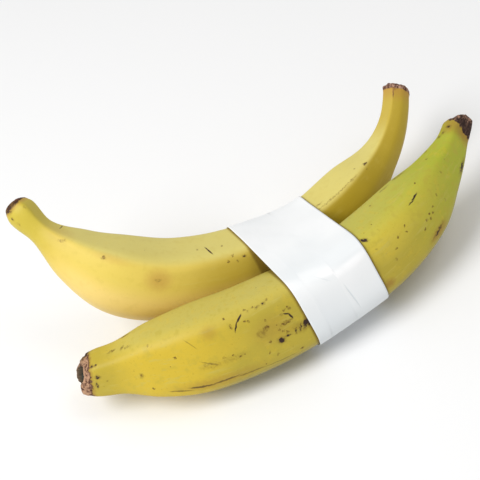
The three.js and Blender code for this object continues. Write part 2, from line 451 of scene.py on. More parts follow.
class StageSettings(bpy.types.PropertyGroup):
    floor_colour: colour_setting("Floor", "Colour of the floor", shown(246, 246, 246))
    sky_strength: FloatProperty(name="Sky", description="Strength of the even light", default=0.5, min=0)
    key_power: FloatProperty(
        name="Key light", description="Power of the large soft light", default=13.2, min=0, unit="POWER"
    )
    top_power: FloatProperty(
        name="Top light", description="Power of the light overhead", default=1.5, min=0, unit="POWER"
    )
    elevation: FloatProperty(
        name="Elevation", description="Height angle of the camera",
        default=math.radians(44), subtype="ANGLE",
    )
    azimuth: FloatProperty(
        name="Azimuth", description="Side angle of the camera",
        default=math.radians(-15.3), subtype="ANGLE",
    )
    roll: FloatProperty(
        name="Roll", description="Turn of the camera about its view",
        default=math.radians(22), subtype="ANGLE",
    )
    distance: FloatProperty(
        name="Distance", description="From the camera to its target",
        default=0.75, subtype="DISTANCE", unit="LENGTH",
    )
    scale: FloatProperty(
        name="Scale", description="Picture points to a millimetre at the target", default=1.875, min=0.1
    )
    target: FloatVectorProperty(
        name="Target", description="Where the camera looks before the pair is centred", default=(0, 0, 0.025),
        subtype="TRANSLATION", unit="LENGTH",
    )


class PlantainSettings(bpy.types.PropertyGroup):
    front: PointerProperty(type=FrontPeelSettings)
    rear: PointerProperty(type=RearPeelSettings)
    band: PointerProperty(type=BandSettings)
    stage: PointerProperty(type=StageSettings)


# Shader maths.
class Value:
    """A node's socket that can stand in an expression, where each operator adds the node it needs."""

    def __init__(self, paint, socket):
        self.paint = paint
        self.socket = socket

    def combine(self, operation, first, second):
        vectors = any(isinstance(v, Value) and v.socket.type in ("VECTOR", "RGBA") for v in (first, second))
        kind = "ShaderNodeVectorMath" if vectors else "ShaderNodeMath"
        return self.paint.add(kind, {"operation": operation}, {0: first, 1: second})

    def __add__(self, other):
        return self.combine("ADD", self, other)

    def __radd__(self, other):
        return self.combine("ADD", other, self)

    def __sub__(self, other):
        return self.combine("SUBTRACT", self, other)

    def __rsub__(self, other):
        return self.combine("SUBTRACT", other, self)

    def __mul__(self, other):
        return self.combine("MULTIPLY", self, other)

    def __rmul__(self, other):
        return self.combine("MULTIPLY", other, self)

    def or_more(self, other):
        return self.combine("MAXIMUM", self, other)


class Paint:
    """A new material. Its add method makes any node, and the others name the common ones."""

    def __init__(self, name):
        self.material = bpy.data.materials.new(name)
        self.material.use_nodes = True
        self.tree = self.material.node_tree
        self.tree.nodes.clear()

    def add(self, kind, settings=None, values=None, output=0):
        node = self.tree.nodes.new(kind)
        for name, value in (settings or {}).items():
            setattr(node, name, value)
        for name, value in (values or {}).items():
            if isinstance(value, Value):
                self.tree.links.new(value.socket, node.inputs[name])
            else:
                node.inputs[name].default_value = value
        return Value(self, node.outputs[output])

    def attribute(self, name):
        return self.add("ShaderNodeAttribute", {"attribute_name": name}, output="Vector")

    def other(self, value, output):
        """Another output of the node that a value comes from."""
        return Value(self, value.socket.node.outputs[output])

    def parts(self, vector):
        first = self.add("ShaderNodeSeparateXYZ", values={0: vector})
        return first, self.other(first, 1), self.other(first, 2)

    def freckles(self, place, apart, size, share):
        """Small dots in some of the cells that fill the space evenly."""
        near = self.add("ShaderNodeTexVoronoi", values={"Vector": place, "Scale": 1 / apart})
        chance, _, _ = self.parts(self.other(near, "Color"))
        dot = self.rise(near, size / apart, 0.4 * size / apart)
        return dot * self.rise(chance, 1 - share, 1.01 - share)

    def noise(self, place, size, detail=2.0, rough=0.5, twist=0.0):
        values = {
            "Vector": place, "Scale": 1 / size, "Detail": detail, "Roughness": rough, "Distortion": twist,
        }
        return self.add("ShaderNodeTexNoise", {"noise_dimensions": "3D"}, values)

    def rise(self, value, low, high, top=1.0):
        """0 below low, top above high, and smooth between them; falls where low is above high."""
        values = {0: value, 1: low, 2: high, 3: 0.0, 4: top}
        return self.add("ShaderNodeMapRange", {"interpolation_type": "SMOOTHSTEP"}, values)

    def mix(self, first, second, share):
        colours = [c if isinstance(c, Value) else (*c, 1) for c in (first, second)]
        values = {0: share, 6: colours[0], 7: colours[1]}
        return self.add("ShaderNodeMix", {"data_type": "RGBA"}, values, output=2)

    def finish(self, **values):
        """The finished material, whose shader's sockets get these values."""
        sockets = {name.replace("_", " "): value for name, value in values.items()}
        shader = self.add("ShaderNodeBsdfPrincipled", values=sockets)
        surface = self.tree.nodes.new("ShaderNodeOutputMaterial").inputs["Surface"]
        self.tree.links.new(shader.socket, surface)
        return self.material


# The fruits' shape, by the part's own formulas.
def smooth_value(places, values, at):
    """The smooth curve through the values, read at an array of places."""
    places = np.array(places, float)
    values = np.array(values, float)
    last = len(places) - 1
    i = np.clip(np.searchsorted(places, at) - 1, 0, last - 1)
    before = np.maximum(np.arange(last + 1) - 1, 0)
    after = np.minimum(np.arange(last + 1) + 1, last)
    slope = (values[after] - values[before]) / (places[after] - places[before])
    step = places[i + 1] - places[i]
    t = (at - places[i]) / step
    return (
        (1 + 2 * t) * (1 - t) ** 2 * values[i]
        + t * (1 - t) ** 2 * step * slope[i]
        + t * t * (3 - 2 * t) * values[i + 1]
        + t * t * (t - 1) * step * slope[i + 1]
    )


def ease(value, low, high):
    """0 at low, 1 at high, and smooth between them."""
    t = np.clip((value - low) / (high - low), 0, 1)
    return t * t * (3 - 2 * t)


def heading(fruit, at):
    """The centre line's direction in its own plane, in radians."""
    flower = 0.5 * (1 + np.tanh((at - fruit["flower_turn_at"]) / TURN_SPREAD))
    stem = 0.5 * (1 + np.tanh((at - fruit["stem_turn_at"]) / TURN_SPREAD))
    return np.radians(fruit["bend"] * (at - 0.5) + fruit["flower_turn"] * flower + fruit["stem_turn"] * stem)


def centre_line(fruit, at):
    """Where the centre line runs in its own plane, with its chord along the first axis."""
    step = fruit["length"] / LINE_STEPS
    angle = heading(fruit, (np.arange(LINE_STEPS) + 0.5) / LINE_STEPS)
    u = np.concatenate([[0], np.cumsum(np.cos(angle) * step)])
    v = np.concatenate([[0], np.cumsum(np.sin(angle) * step)])
    chord = math.atan2(v[-1], u[-1])
    along = u * math.cos(chord) + v * math.sin(chord)
    across = v * math.cos(chord) - u * math.sin(chord)
    places = np.linspace(0, 1, LINE_STEPS + 1)
    inside = np.clip(at, 0, 1)
    turned = heading(fruit, inside) - chord
    over = (at - inside) * fruit["length"]
    u_at = np.interp(inside, places, along) - along[-1] / 2 + over * np.cos(turned)
    v_at = np.interp(inside, places, across) - across.min() + over * np.sin(turned)
    return u_at, v_at, turned


def section(fruit, at, around):
    """How far the rounded section reaches, as a share of its mean radius, at places and angles."""
    power = smooth_value(RIDGES_AT, fruit["ridges"], at)[:, None]
    turn = fruit["twist"] * (0.5 - at) + smooth_value(RIDGE_TURNS_AT, fruit["ridge_turns"], at)
    turn = turn[:, None]

    def reach(angles):
        total = 0
        for face in fruit["faces"]:
            away = PRESSED_IN if face == fruit["pressed_face"] else 1
            total = total + np.maximum(0, np.cos(np.radians(angles - face - turn)) / away) ** power
        return total ** (-1 / power)

    mean = reach(np.arange(0, 360, 5)[None, :]).mean(1)[:, None]
    return reach(around) / mean


def directions(fruit):
    """The chord of the flat centre line, the way to its hollow side, and the way square to both."""
    yaw, pitch, tilt = (math.radians(fruit[name]) for name in ("yaw", "pitch", "tilt"))
    chord = np.array([math.cos(yaw) * math.cos(pitch), math.sin(yaw) * math.cos(pitch), math.sin(pitch)])
    side = np.array([-math.sin(yaw), math.cos(yaw), 0])
    inward = side * math.cos(tilt) + np.cross(chord, side) * math.sin(tilt)
    return chord, inward, np.cross(chord, inward)


def profile(fruit):
    """Distance along the fruit and radius of each ring, from the flower end's face to the stem's."""
    rings = []
    shares = (np.arange(FACE_STEPS) + 0.5) / FACE_STEPS
    turns = np.linspace(0, math.pi / 2, EDGE_STEPS, endpoint=False)

    def radius(y):
        return smooth_value(RADIUS_AT, fruit["radii"], np.array([y / fruit["length"]]))[0]

    flower_edge = fruit["flower_edge"]
    stem_edge = fruit["stem_edge"]
    rim = radius(0) - flower_edge
    rings += [(0, rim * share) for share in shares]
    for turn in turns:
        y = flower_edge * (1 - math.cos(turn))
        rings.append((y, radius(y) - flower_edge * (1 - math.sin(turn))))
    for y in np.linspace(flower_edge, fruit["length"] - stem_edge, BODY_STEPS):
        rings.append((y, radius(y)))
    for turn in turns[::-1]:
        y = fruit["length"] - stem_edge * (1 - math.cos(turn))
        rings.append((y, radius(y) - stem_edge * (1 - math.sin(turn))))
    rim = radius(fruit["length"]) - stem_edge
    rings += [(fruit["length"], rim * share) for share in shares[::-1]]
    along, radii = np.array(rings).T
    return along, radii


def place_rings(fruit, along, reach, around):
    """Points of the skin for distances along the fruit, distances out from its middle, and angles."""
    angle = np.radians(around)[..., None]
    at_stem = ease(along, fruit["length"] - STEM_SPREAD, fruit["length"])
    slanted = along - fruit["stem_slant"] * at_stem * (1 + np.sin(angle[..., 0])) / 2
    u, v, turned = centre_line(fruit, slanted / fruit["length"])
    chord, inward, normal = directions(fruit)
    middle = u[..., None] * chord + v[..., None] * inward
    outward = -np.sin(turned)[..., None] * chord + np.cos(turned)[..., None] * inward
    middle = middle + (fruit["stem_lean"] * at_stem)[..., None] * outward
    way = np.sin(angle) * outward + np.cos(angle) * normal
    return middle + reach[..., None] * way + np.array([*fruit["middle"], 0])


def wander(points, size, seed):
    """Smooth noise from about -1 to 1, with features about size across."""
    flat = points.reshape(-1, 3) / size + seed * 11.3
    return np.array([noise.noise(Vector(p)) for p in flat]).reshape(points.shape[:-1])


def dried_depths(fruit, straight):
    """Each point's depth inside the dried flower end and the dried stem end, and share of the hollow."""
    along = straight[..., 0]
    side = np.sin(np.arctan2(straight[..., 2], straight[..., 1]))
    rim = fruit["radii"][0] - fruit["flower_edge"]
    off = fruit["hollow_off"] * rim
    turn = math.radians(fruit["hollow_turn"])
    out = np.hypot(straight[..., 1] - off * math.cos(turn), straight[..., 2] - off * math.sin(turn))
    crust = fruit["crust"] - along
    cap = along - fruit["length"] + fruit["cap"] + fruit["cap_point"] * ((1 - side) / 2) ** 1.5
    hollow = (1 - ease(out, 0.75 * rim, 1.2 * rim)) * (1 - ease(along, 1, 3))
    return np.stack([crust, cap, hollow], -1)


def end_slant(fruit, end, around):
    """How far the slanted face of the crust or the cap is moved along the fruit."""
    facing = 0.5 + 0.5 * np.cos(np.radians(around - fruit[f"{end}_faces"]))
    return fruit[f"{end}_slant"] * (facing - SLANT_BACK)


def end_relief(fruit, straight):
    """How the dried ends differ from the smooth body: out from the middle, and along the fruit."""
    along = straight[..., 0]
    around = np.degrees(np.arctan2(straight[..., 2], straight[..., 1]))
    depths = dried_depths(fruit, straight)
    crust = ease(depths[..., 0], -CRUST_SOFT, CRUST_SOFT)
    cap = ease(depths[..., 1], -CAP_SOFT, CAP_SOFT)
    seed = fruit["seed"]
    lumps = wander(straight, 3, seed) + 0.6 * wander(straight, 1.3, seed + 1)
    fibres = wander(straight * [0.15, 1, 1], 1.1, seed + 3)
    out = crust * fruit["crust_lumps"] * (0.2 + lumps) + cap * (0.25 + 0.5 * fibres)
    slide = fruit["hollow"] * ease(depths[..., 2], 0.7, 1)
    slide = slide + end_slant(fruit, "crust", around) * (1 - ease(along, 0, SLANT_REACH))
    slide = slide + crust * fruit["crust_lumps"] * wander(straight * [0.2, 1, 1], 2.5, seed + 2)
    slide = slide + cap * 0.8 * wander(straight * [0.3, 1, 1], 2.4, seed + 4)
    at_stem = ease(along, fruit["length"] - SLANT_REACH, fruit["length"])
    slide = slide + end_slant(fruit, "cap", around) * at_stem
    return out, slide


def fruit_rings(fruit):
    """The fruit's finished skin in millimetres before it is centred, and its straightened twin."""
    line, radius = profile(fruit)
    turns = np.arange(AROUND_STEPS) * (360 / AROUND_STEPS)
    share = section(fruit, np.clip(line / fruit["length"], 0, 1), turns[None, :])
    reach = radius[:, None] * share
    along = np.repeat(line[:, None], AROUND_STEPS, 1)
    around = np.repeat(turns[None, :], len(line), 0)
    angle = np.radians(around)
    straight = np.stack([along, reach * np.cos(angle), reach * np.sin(angle)], -1)
    reach = reach + WAVE_HEIGHT * wander(straight, WAVE_SIZE, fruit["seed"] + 5) * np.minimum(1, reach / 6)
    out, slide = end_relief(fruit, straight)
    points = place_rings(fruit, along + slide, reach + out * np.minimum(1, reach / 3), around)
    plain = place_rings(fruit, along, radius[:, None] * share, around)
    return points, plain, straight


def centring(fruit, plain):
    """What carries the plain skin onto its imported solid, in millimetres."""
    low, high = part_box(fruit["node"])
    solid = (np.array(low) + np.array(high)) / 2 / MM
    flat = plain.reshape(-1, 3)
    return solid - (flat.min(0) + flat.max(0)) / 2


@functools.cache
def settled_fruit(node):
    """A fruit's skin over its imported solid, its straightened twin, and how far the skin was moved."""
    fruit = FRUITS[node]
    points, plain, straight = fruit_rings(fruit)
    move = centring(fruit, plain)
    return points + move, straight, move


def band_shift():
    """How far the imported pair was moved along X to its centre."""
    low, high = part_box("band")
    return (low[0] + high[0]) / 2 / MM - (BAND_FROM + BAND_TO) / 2


def ring_faces(rings, around):
    """The faces between rings of points that are joined around."""
    index = np.arange(rings * around).reshape(rings, around)
    across = np.roll(index, -1, 1)
    return np.stack([index[:-1], across[:-1], across[1:], index[1:]], -1).reshape(-1, 4).tolist()


# The distance below sets where a thin line of painted shade falls, between the fruits and along the band's
# edges.
def nearest_piece(points, other_skin):
    """How far each point is from the other fruit, weighted, or from the band along X if that is less."""
    tree = BVHTree.FromPolygons(other_skin.reshape(-1, 3).tolist(), ring_faces(*other_skin.shape[:2]))
    found = [tree.find_nearest(point, NEAR_MOST)[3] for point in points.reshape(-1, 3).tolist()]
    gap = np.array([NEAR_MOST if far is None else far for far in found]).reshape(points.shape[:2])
    x = points[..., 0] - band_shift()
    return np.minimum(GAP_WEIGHT * gap, np.maximum(np.maximum(BAND_FROM - x, x - BAND_TO), 0))


def with_end_middles(rings):
    """The rings' points in one list, then the middle of the first ring and that of the last."""
    return np.vstack([rings.reshape(-1, 3), rings[0].mean(0), rings[-1].mean(0)])


def face_out(mesh):
    """Turns the faces over when they look inwards."""
    volume = sum(face.center.dot(face.normal) * face.area for face in mesh.polygons)
    if volume < 0:
        mesh.flip_normals()


def ring_piece(name, points, attributes):
    """A piece over rings of points, joined around and closed at both ends."""
    rings, around = points.shape[:2]
    here = list(range(around))
    beside = here[1:] + here[:1]
    last_ring = (rings - 1) * around
    first_middle = rings * around
    last_middle = first_middle + 1
    faces = ring_faces(rings, around)
    faces += [(first_middle, b, a) for a, b in zip(here, beside)]
    faces += [(last_middle, last_ring + a, last_ring + b) for a, b in zip(here, beside)]
    mesh = bpy.data.meshes.new(name)
    mesh.from_pydata((with_end_middles(points) * MM).tolist(), [], faces)
    for key, value in attributes.items():
        layer = mesh.attributes.new(key, "FLOAT_VECTOR", "POINT")
        layer.data.foreach_set("vector", with_end_middles(value).astype(np.float32).ravel())
    mesh.polygons.foreach_set("use_smooth", [True] * len(mesh.polygons))
    mesh.update()
    face_out(mesh)
    piece = bpy.data.objects.new(name, mesh)
    bpy.context.collection.objects.link(piece)
    return piece


# Colour of the peel.
def peel_tones(fruit, straight):
    """Shares of the pale, light and deep colours, of green and of the underside's colour. The
    numbers are the shares of the length, or the angles around, where a colour starts and is full."""
    at = straight[..., 0] / fruit["length"]
    around = np.degrees(np.arctan2(straight[..., 2], straight[..., 1]))
    if fruit is FRONT:
        neck = 1 - ease(at, 0.03, 0.14)
        # pale: the upward facet, partly the peel's own greener tone and partly painted sky sheen.
        pale = ease(around, -22, 14) * (1 - ease(around, 80, 120)) * (1 - neck)
        light = (1 - ease(at, 0.28, 0.44)) * (1 - pale)
        # deep: partly the peel's olive tone, partly painted shade by the band and on the lower side.
        deep = ease(at, 0.22, 0.4) * (1 - ease(at, 0.54, 0.64)) * (1 - pale)
        deep = deep + ease(-around, 44, 78) * ease(at, 0.2, 0.4) + 0.8 * neck
        deep = deep + 0.5 * ease(-around, 20, 50) * ease(at, 0.5, 0.6) * (1 - ease(at, 0.8, 0.9))
        ripe = 1 - ease(at, 0.62, 0.92)
        green = 1 - ripe + 0.35 * ease(around, -35, 0) * ease(at, 0.5, 0.58) * ripe
        # under: painted light bounced up from the floor onto the lowest strip.
        under = ease(-around, 84, 98) * ease(at, 0.2, 0.3)
    else:
        past = around - smooth_value(RIDGE_TURNS_AT, fruit["ridge_turns"], np.clip(at, 0, 1))
        # pale: the upward facet, partly the peel's own greener tone and partly painted sky sheen.
        pale = ease(past, 8, 22) * (1 - ease(past, 80, 120)) * (1 - 0.85 * ease(at, 0.84, 0.94))
        # light: painted light on the left belly where the lamp falls, then a painted highlight along the
        # ridge.
        light = ease(at, 0.06, 0.18) * (1 - ease(at, 0.28, 0.46)) * (1 - pale)
        line = ease(past, 2, 10) * (1 - ease(past, 10, 20))
        light = light + 0.7 * line * (1 - ease(at, 0.5, 0.6) + ease(at, 0.8, 0.88))
        # deep: partly the peel's darker tone, partly painted shade by the band and on the shaded side towards
        # the stem.
        deep = (0.45 * ease(at, 0.34, 0.46) + 0.55 * ease(at, 0.6, 0.7)) * (1 - pale)
        green = 1 - ease(at, 0.04, 0.14)
        # under: painted light bounced up from the floor onto the lower belly.
        under = 0.8 * ease(-around, 14, 52) * ease(at, 0.1, 0.2) * (1 - ease(at, 0.5, 0.6))
    return np.stack([pale, np.clip(light, 0, 1), np.clip(deep, 0, 1)], -1), green, under


def on_skin(fruit, along, around):
    """The straight coordinates of a place on the skin."""
    at = np.array([along / fruit["length"]])
    reach = smooth_value(RADIUS_AT, fruit["radii"], at) * section(fruit, at, np.array([[around]]))[0]
    angle = math.radians(around)
    return along, reach[0] * math.cos(angle), reach[0] * math.sin(angle)


def strongest(shares):
    """The strongest of several shares, taken in pairs."""
    shares = [*shares]
    while len(shares) > 1:
        shares = [a.or_more(b) for a, b in zip(shares[::2], shares[1::2])] + shares[len(shares) // 2 * 2:]
    return shares[0] if shares else 0.0


def patch(paint, place, middle, facing, reach, soft, strength):
    """How much of a long round patch shows at a place."""
    values = {"Vector": place, "Location": middle, "Rotation": facing.to_euler("XYZ"), "Scale": reach}
    local = paint.add("ShaderNodeMapping", {"vector_type": "TEXTURE"}, values)
    far = paint.add("ShaderNodeVectorMath", {"operation": "LENGTH"}, {0: local}, "Value")
    return paint.rise(far, 1 + soft, 1 - soft, strength)


def scar(paint, place, fruit, mark, soft):
    """How much of a long mark on the peel shows at a place."""
    along, around, length, width, turn, strength = mark
    facing = Matrix.Rotation(math.radians(around), 3, "X") @ Matrix.Rotation(-math.radians(turn), 3, "Y")
    reach = (length / 2, max(width, 3), width / 2)
    return patch(paint, place, on_skin(fruit, along, around), facing, reach, soft, strength)


def speck(paint, place, fruit, mark):
    """How much of a small round mark shows at a place."""
    along, around, strength = mark
    middle = on_skin(fruit, along, around)
    far = paint.add("ShaderNodeVectorMath", {"operation": "DISTANCE"}, {0: place, 1: middle}, "Value")
    return paint.rise(far, 0.75 * SPECK_SIZE, 0.25 * SPECK_SIZE, strength)


def peel_material(name, fruit, look, marks):
    """Waxy peel: soft colour changes with painted light and shade, faint scuffs, scars, specks and dried
    ends.
    """
    paint = Paint(name)
    place = paint.attribute("straight")
    pale, light, deep = paint.parts(paint.attribute("tone"))
    green, under, near = paint.parts(paint.attribute("tint_and_painted_light"))
    crust, cap, hollow = paint.parts(paint.attribute("dried"))
    along, _, _ = paint.parts(place)
    cloud = paint.noise(place, 18, 3, 0.55)
    mottle = paint.noise(place, 4.5, 4, 0.6)
    streak = paint.noise(place * (0.1, 1.0, 1.0), 1.8, 3, 0.6)
    grain = paint.noise(place, 1.2, 3, 0.6)
    uneven = 0.7 * cloud + 0.65
    mottled = fruit["mottled"]

    # Soft colour changes, partly painted light and shade, mottling and faint scuffs.
    # The rear's light colour is painted light, the deep colour is partly painted shade, and the pale colour
    # is partly painted sky sheen.
    colour = paint.mix(look.main, look.light, light * uneven)
    colour = paint.mix(colour, look.deep, deep * uneven)
    colour = paint.mix(colour, look.pale, pale * uneven)
    colour = paint.mix(colour, look.green, green * uneven)
    # The underside's colour: painted light bounced up from the floor, low on the fruit.
    colour = paint.mix(colour, look.under, under)
    colour = paint.mix(colour, look.light, 0.22 * mottled * paint.rise(mottle, 0.5, 0.7))
    colour = paint.mix(colour, look.deep, 0.3 * mottled * paint.rise(mottle, 0.5, 0.3))
    scuffed = paint.rise(streak, 0.52, 0.72) * paint.rise(cloud, 0.4, 0.6)
    colour = paint.mix(colour, look.pale, 0.35 * mottled * scuffed)
    dirty = paint.rise(grain, 0.56, 0.72) * paint.rise(mottle, 0.45, 0.6)
    colour = paint.mix(colour, look.stain, 0.16 * mottled * dirty)

    # Marks, with edges made ragged by shifting the place that is looked up.
    values = {"Vector": place, "Scale": 0.7, "Detail": 3.0}
    shift = paint.add("ShaderNodeTexNoise", values=values, output="Color") - (0.5, 0.5, 0.5)
    ragged_place = place + shift * (2.4, 2.4, 2.4)
    bruised = strongest(scar(paint, ragged_place, fruit, mark, 0.8) for mark in marks["bruises"])
    colour = paint.mix(colour, look.bruise, bruised * uneven)
    stains = [scar(paint, ragged_place, fruit, mark, 0.5) for mark in marks["stains"]]
    specks = [speck(paint, ragged_place, fruit, mark) for mark in marks["specks"]]
    freckles = 0.7 * paint.freckles(place, 6, 0.45, fruit["freckled"])
    broken = 0.55 + 0.9 * paint.rise(grain, 0.42, 0.6)
    stained = strongest([*stains, *specks, freckles]) * broken
    colour = paint.mix(colour, look.stain, stained)
    cut_place = place + shift * (0.9, 0.9, 0.9)
    cut = strongest(scar(paint, cut_place, fruit, mark, 0.35) for mark in marks["cuts"])
    colour = paint.mix(colour, look.brown, cut)
    torn = fruit["ragged"] * (paint.noise(place * (0.5, 1.0, 1.0), 2.4, 3, 0.6) - 0.5)
    fibre = paint.noise(place * (0.4, 1.0, 1.0), 1.2, 3, 0.65, 1.4)
    knobbly = paint.noise(place, 2.2, 3, 0.6)
    # Painted shade: a thin dark line in the crease between the fruits and along the band's edges.
    colour = paint.mix(colour, look.stain, 0.75 * paint.rise(near, 1.8, 0.1))

    # The dried ends.
    crust_in = crust + torn
    cap_in = cap + torn
    crusted = paint.rise(crust_in, -0.3, 0.5)
    capped = paint.rise(cap_in, -0.3, 0.5)
    near_end = paint.rise(crust_in, -3.0, 0.0).or_more(paint.rise(cap_in, -9.0, 1.0))
    colour = paint.mix(colour, look.bruise, 0.7 * near_end)
    rim = paint.rise(crust_in, -1.2, 0.2) * paint.rise(knobbly, 0.42, 0.58)
    colour = paint.mix(colour, look.crust_dark, rim)
    dried = paint.mix(look.crust_dark, look.crust_light, paint.rise(knobbly, 0.36, 0.57))
    dried = paint.mix(dried, look.crust_dark, 0.8 * paint.rise(crust_in, 1.6, 0.2))
    dried = paint.mix(dried, look.hollow, hollow)
    colour = paint.mix(colour, dried, crusted)
    top = paint.rise(along, fruit["length"] - 7, fruit["length"] - 1)
    bark = paint.mix(look.cap_dark, look.cap_light, paint.rise(fibre, 0.46, 0.64) * (0.85 * top + 0.15))
    colour = paint.mix(colour, bark, capped)
    blotched = strongest(scar(paint, ragged_place, fruit, mark, 0.75) for mark in marks["blotches"])
    colour = paint.mix(colour, look.stain, 0.75 * blotched)
    colour = paint.mix(colour, look.brown, paint.rise(blotched * (1.6 * grain + 0.2), 0.55, 0.9))

    # Finish and relief.
    ends = crusted.or_more(capped)
    roughness = 0.44 + 0.12 * mottle + 0.35 * ends
    height = 0.4 * streak + 0.3 * grain + 3.0 * ends * knobbly
    normal = paint.add("ShaderNodeBump", values={"Strength": 0.35, "Distance": 0.0003, "Height": height})
    return paint.finish(Base_Color=colour, Roughness=roughness, Normal=normal, Specular_IOR_Level=0.35)


def build_fruit(fruit, name, look, marks):
    points, straight, _ = settled_fruit(fruit["node"])
    other = REAR if fruit is FRONT else FRONT
    other_skin, _, _ = settled_fruit(other["node"])
    tone, green, under = peel_tones(fruit, straight)
    # This holds green, the underside's painted floor light and the distance that sets the painted shade line.
    tint_and_painted_light = np.stack([green, under, nearest_piece(points, other_skin)], -1)
    attributes = {"straight": straight, "tone": tone, "tint_and_painted_light": tint_and_painted_light, "dried": dried_depths(fruit, straight)}
    piece = ring_piece(name, points, attributes)
    for beyond in (False, True):
        own = {
            kind: [mark for mark in group if (mark[0] > fruit["half"]) == beyond]
            for kind, group in marks.items()
        }
        piece.data.materials.append(peel_material(f"{name}_skin_{int(beyond)}", fruit, look, own))
    rings = (straight[:-1, :, 0] > fruit["half"]).ravel()
    ends = np.repeat([False, True], AROUND_STEPS)
    piece.data.polygons.foreach_set("material_index", np.concatenate([rings, ends]).astype(np.int32))
    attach(piece, "root")
    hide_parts(fruit["node"])


# The band.
def cut_at(points, x):
    """Where the lines that run along a fruit pass through the plane at x."""
    cuts = []
    for line in points.transpose(1, 0, 2):
        along, across, height = line[np.argsort(line[:, 0])].T
        cuts.append([np.interp(x, along, across), np.interp(x, along, height)])
    return np.array(cuts)


def tight_outline(cuts, floor):
    """Evenly spaced points round the tightest loop over both cuts, from under the rear fruit, with
    the way out and the run at each."""
    touch = np.vstack([*cuts, *([cut[:, 0].mean(), floor] for cut in cuts)])
    turn = np.radians(np.linspace(-90, 270, OUTLINE_WAYS) + 0.01)
    ways = np.stack([np.cos(turn), np.sin(turn)], -1)
    corners = touch[(ways @ touch.T).argmax(1)]
    moved = np.linalg.norm(np.diff(corners, axis=0), axis=1) > SAME_SPOT
    corners = corners[np.concatenate([[True], moved])]
    run = np.concatenate([[0], np.cumsum(np.linalg.norm(np.diff(corners, axis=0), axis=1))])
    at = np.linspace(0, 1, BAND_AROUND) * run[-1]
    spots = np.stack([np.interp(at, run, corners[:, k]) for k in (0, 1)], -1)
    ahead = np.roll(spots[:-1], -3, 0) - np.roll(spots[:-1], 3, 0)
    ahead = np.vstack([ahead, ahead[:1]])
    ahead /= np.linalg.norm(ahead, axis=1)[:, None]
    return spots, np.stack([ahead[:, 1], -ahead[:, 0]], -1), at


def softened(spots, out, width):
    """The loop with its corners rounded, and never inside the first one."""
    loop = spots[:-1]
    ways = out[:-1]
    reach = max(1, round(width / np.linalg.norm(spots[1] - spots[0])))
    weights = np.hanning(2 * reach + 3)[1:-1]
    weights /= weights.sum()

    def spread(values):
        return sum(weight * np.roll(values, k - reach, 0) for k, weight in enumerate(weights))

    rounded = spread(loop)
    short = np.maximum(((loop - rounded) * ways).sum(1), 0)
    most = np.max([np.roll(short, k) for k in range(-reach, reach + 1)], 0)
    rounded = rounded + ways * spread(most)[:, None]
    lifted = ease(loop[:, 1], BAND_FLOOR + BAND_SOFT_FROM, BAND_FLOOR + BAND_SOFT_FULL)[:, None]
    mixed = loop * (1 - lifted) + rounded * lifted
    return np.vstack([mixed, mixed[:1]])


def band_sheet(fruits, shift):
    """The strip's outer points, its ways out, and its straight coordinates."""
    stations = np.linspace(BAND_FROM, BAND_TO, BAND_ALONG) + shift
    rows, ways, strip = [], [], []
    for x in stations:
        spots, out, run = tight_outline([cut_at(points, x) for points in fruits], BAND_FLOOR)
        spots = softened(spots, out, BAND_SOFT)
        rows.append(np.column_stack([np.full(len(spots), x), spots]))
        ways.append(np.column_stack([np.zeros(len(out)), out]))
        strip.append(np.column_stack([np.full(len(spots), x), run, np.zeros(len(run))]))
    return np.array(rows), np.array(ways), np.array(strip)


def strip_mark(paint, strip, mark, soft):
    """How much of a mark on the band shows at a place."""
    x, run, length, width, turn, strength = mark
    facing = Matrix.Rotation(math.radians(turn), 3, "Z")
    return patch(paint, strip, (x, run, 0), facing, (length / 2, width / 2, 1), soft, strength)


def band_material(look):
    """Smooth white film with faint dust, painted shade low at the front, a painted highlight on the stretched
    corner and thin folds of painted shade.
    """
    paint = Paint("band_film")
    strip = paint.attribute("strip")
    _, run, _ = paint.parts(strip)
    dust = paint.noise(strip, 30, 2)
    # Painted highlights along the stretched crease.
    shine = strongest(strip_mark(paint, strip, mark, 0.6) for mark in BAND_SHINES)
    # Thin folds: each a line of painted shade with a small bump.
    shaded_fold = strongest(strip_mark(paint, strip, mark, 0.5) for mark in BAND_SHADED_FOLDS)
    # Painted shade low on the front face, and just above the crease.
    low = paint.rise(run, 110, 148)
    above = paint.rise(run, 80, 104) * paint.rise(run, 112, 108)
    # Faint dust, then painted shade low at the front, above the crease and in the folds, then the painted
    # highlights.
    colour = paint.mix(look.colour, look.shade, (0.25 * paint.rise(dust, 0.4, 0.7)).or_more(0.8 * low))
    colour = paint.mix(colour, look.shade, 0.35 * above)
    colour = paint.mix(colour, look.shade, shaded_fold)
    colour = paint.mix(colour, (1.0, 1.0, 1.0), shine)
    wrinkle = paint.noise(strip * (1.0, 0.6, 1.0), 14, 2, 0.4)
    height = wrinkle + 0.5 * shine - 0.8 * shaded_fold
    normal = paint.add("ShaderNodeBump", values={"Strength": 0.3, "Distance": 0.0008, "Height": height})
    return paint.finish(Base_Color=colour, Roughness=look.roughness, Normal=normal)


def build_band(look):
    rows, ways, strip = band_sheet([settled_fruit(node)[0] for node in FRUITS], band_shift())
    run = strip[..., 1]
    off = BAND_OFF - BAND_STEP_IN * ease(run, BAND_TUCK, BAND_TUCK - BAND_TUCK_SLOPE)
    waved = (run >= BAND_TUCK) & (rows[..., 2] > BAND_WAVE_FROM)
    off = off + BAND_WAVE * wander(strip, BAND_WAVE_SIZE, BAND_WAVE_SEED) * waved
    outer = rows + ways * off[..., None]
    inner = rows + ways * (off - BAND_SHEET)[..., None]
    points = np.concatenate([outer, inner[::-1]]).transpose(1, 0, 2)
    places = np.concatenate([strip, strip[::-1]]).transpose(1, 0, 2)
    piece = ring_piece("band_strip", points, {"strip": places})
    piece.data.materials.append(band_material(look))
    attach(piece, "root")
    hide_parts("band")


